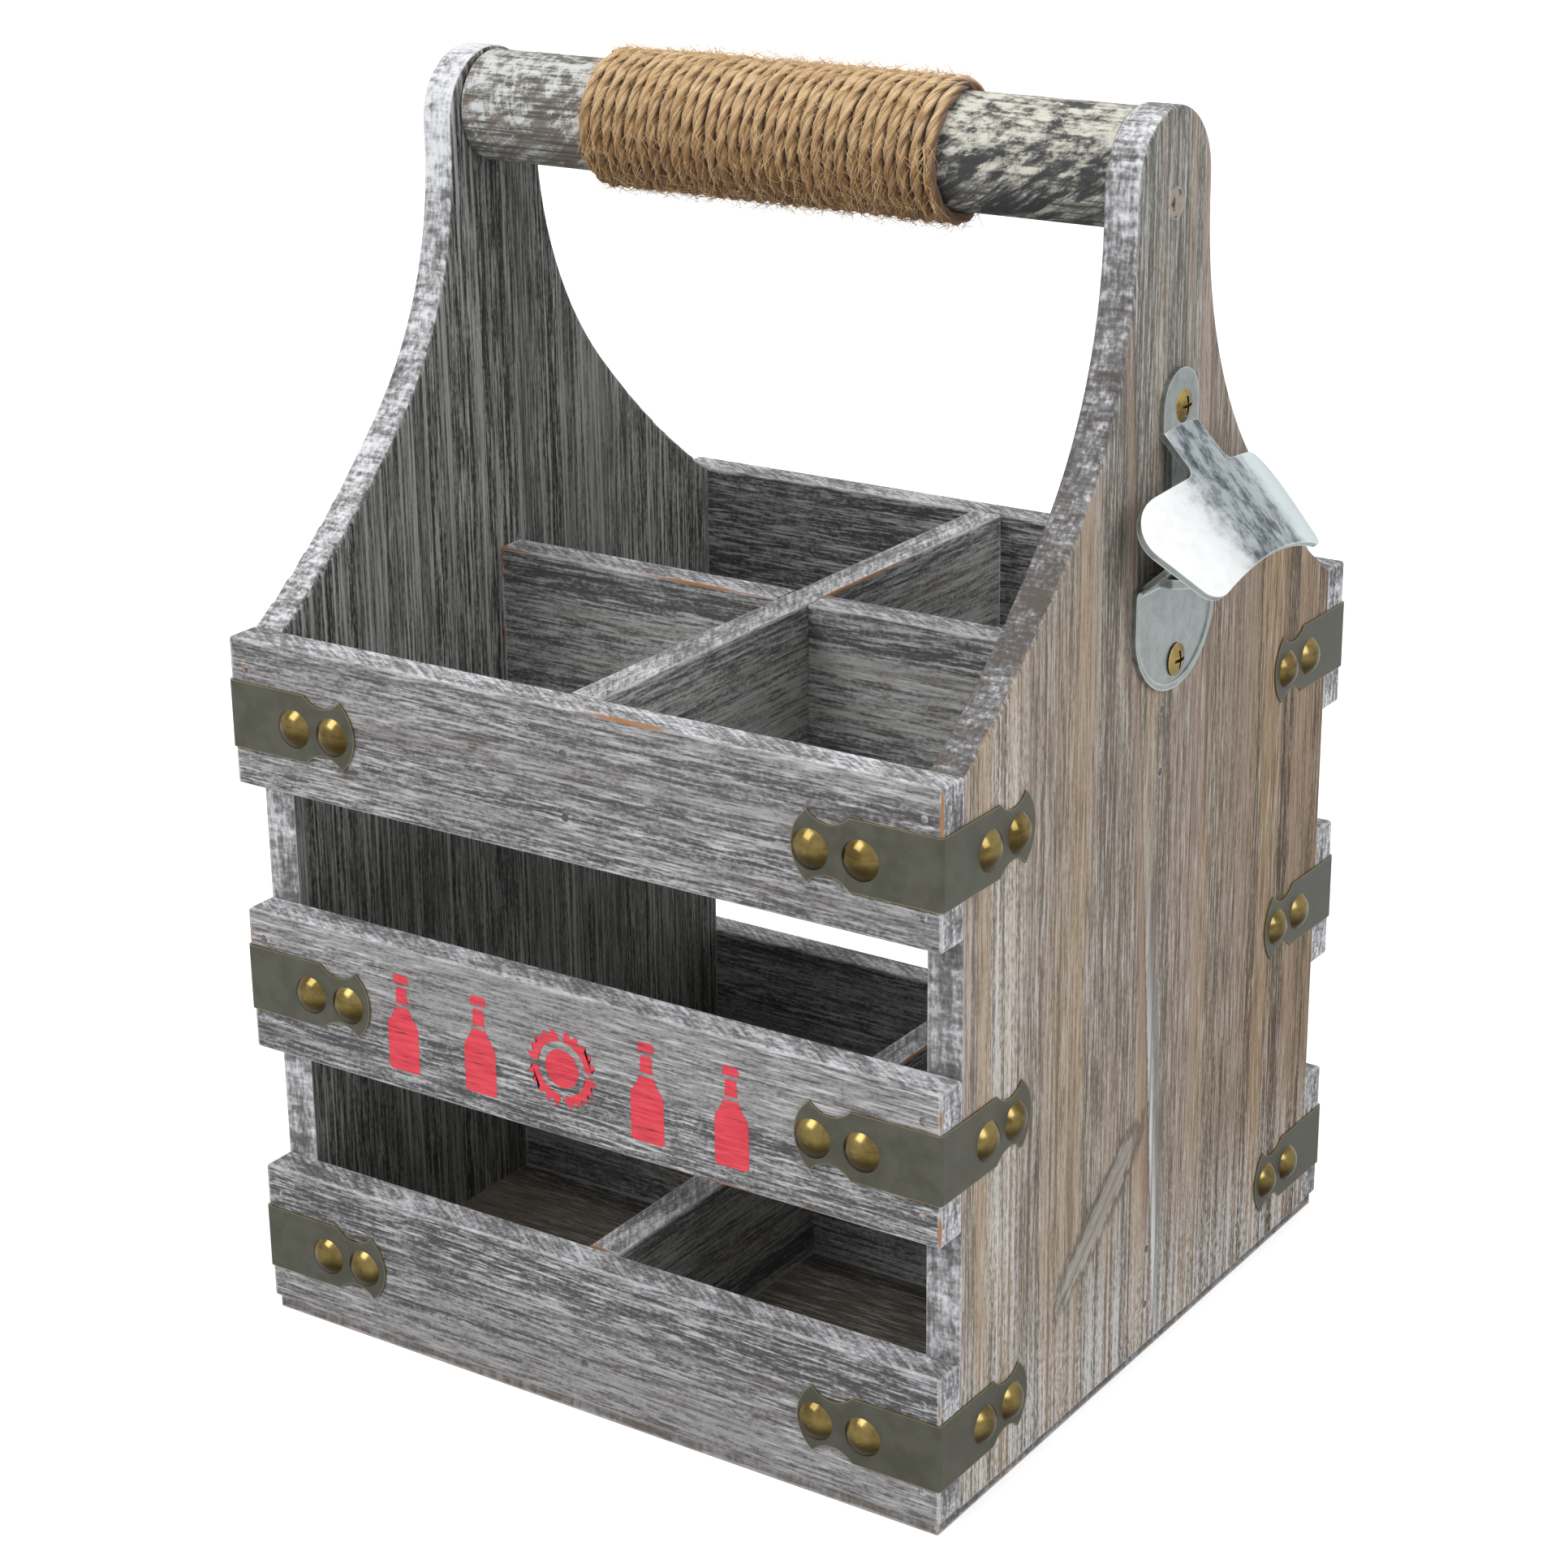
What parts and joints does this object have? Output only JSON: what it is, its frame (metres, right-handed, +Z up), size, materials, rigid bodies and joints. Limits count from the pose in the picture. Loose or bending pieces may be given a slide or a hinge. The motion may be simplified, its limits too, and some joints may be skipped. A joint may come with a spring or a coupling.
{
  "type": "bottle caddy",
  "caption": "Slatted wooden bottle caddy with scooped end panels, a rope-wrapped round handle, crossed dividers, metal corner brackets and a wall-type bottle opener on one end.",
  "frame": {"origin": "middle of the wooden crate's underside, on the surface that it stands on", "axes": "+Z up; +X along the handle towards the end with the bottle opener; -Y is the front with the plain view of the slats"},
  "size_m": [0.2517, 0.222, 0.3437],
  "materials": {
    "washed_pine": "grey-washed, brushed and worn pine",
    "brushed_dowel": "dry-brushed white and grey",
    "jute_rope": "twisted natural fibre",
    "steel_screw": "zinc-plated steel",
    "wood_filler": "matt filler",
    "steel_brad": "bare steel",
    "aged_sheet": "aged olive-brown sheet steel",
    "antique_brass": "antique brass",
    "zinc_sheet": "bright zinc-plated sheet",
    "brass_screw": "brass-plated steel"
  },
  "bodies": {
    "root": {"base_board": "washed_pine", "base_brads": "steel_brad", "bottle_opener": "zinc_sheet", "cross_divider_brads": "steel_brad", "front_bottom_slat": "washed_pine", "front_left_bottom_bracket": "aged_sheet", "front_left_bottom_bracket_nails": "antique_brass", "front_left_middle_bracket": "aged_sheet", "front_left_middle_bracket_nails": "antique_brass", "front_left_top_bracket": "aged_sheet", "front_left_top_bracket_nails": "antique_brass", "front_middle_slat": "washed_pine", "front_right_bottom_bracket": "aged_sheet", "front_right_bottom_bracket_nails": "antique_brass", "front_right_middle_bracket": "aged_sheet", "front_right_middle_bracket_nails": "antique_brass", "front_right_top_bracket": "aged_sheet", "front_right_top_bracket_nails": "antique_brass", "front_slat_brads": "steel_brad", "front_top_slat": "washed_pine", "handle_dowel": "brushed_dowel", "handle_rope_wrap": "jute_rope", "left_end_panel": "washed_pine", "left_handle_screw": "steel_screw", "left_screw_filler": "wood_filler", "long_divider_brads": "steel_brad", "lower_cross_divider": "washed_pine", "lower_long_divider": "washed_pine", "opener_lower_screw": "brass_screw", "opener_upper_screw": "brass_screw", "rear_bottom_slat": "washed_pine", "rear_left_bottom_bracket": "aged_sheet", "rear_left_bottom_bracket_nails": "antique_brass", "rear_left_middle_bracket": "aged_sheet", "rear_left_middle_bracket_nails": "antique_brass", "rear_left_top_bracket": "aged_sheet", "rear_left_top_bracket_nails": "antique_brass", "rear_middle_slat": "washed_pine", "rear_right_bottom_bracket": "aged_sheet", "rear_right_bottom_bracket_nails": "antique_brass", "rear_right_middle_bracket": "aged_sheet", "rear_right_middle_bracket_nails": "antique_brass", "rear_right_top_bracket": "aged_sheet", "rear_right_top_bracket_nails": "antique_brass", "rear_slat_brads": "steel_brad", "rear_top_slat": "washed_pine", "right_end_panel": "washed_pine", "right_handle_screw": "steel_screw", "right_screw_filler": "wood_filler", "upper_cross_divider": "washed_pine", "upper_long_divider": "washed_pine"}
  },
  "joints": []
}
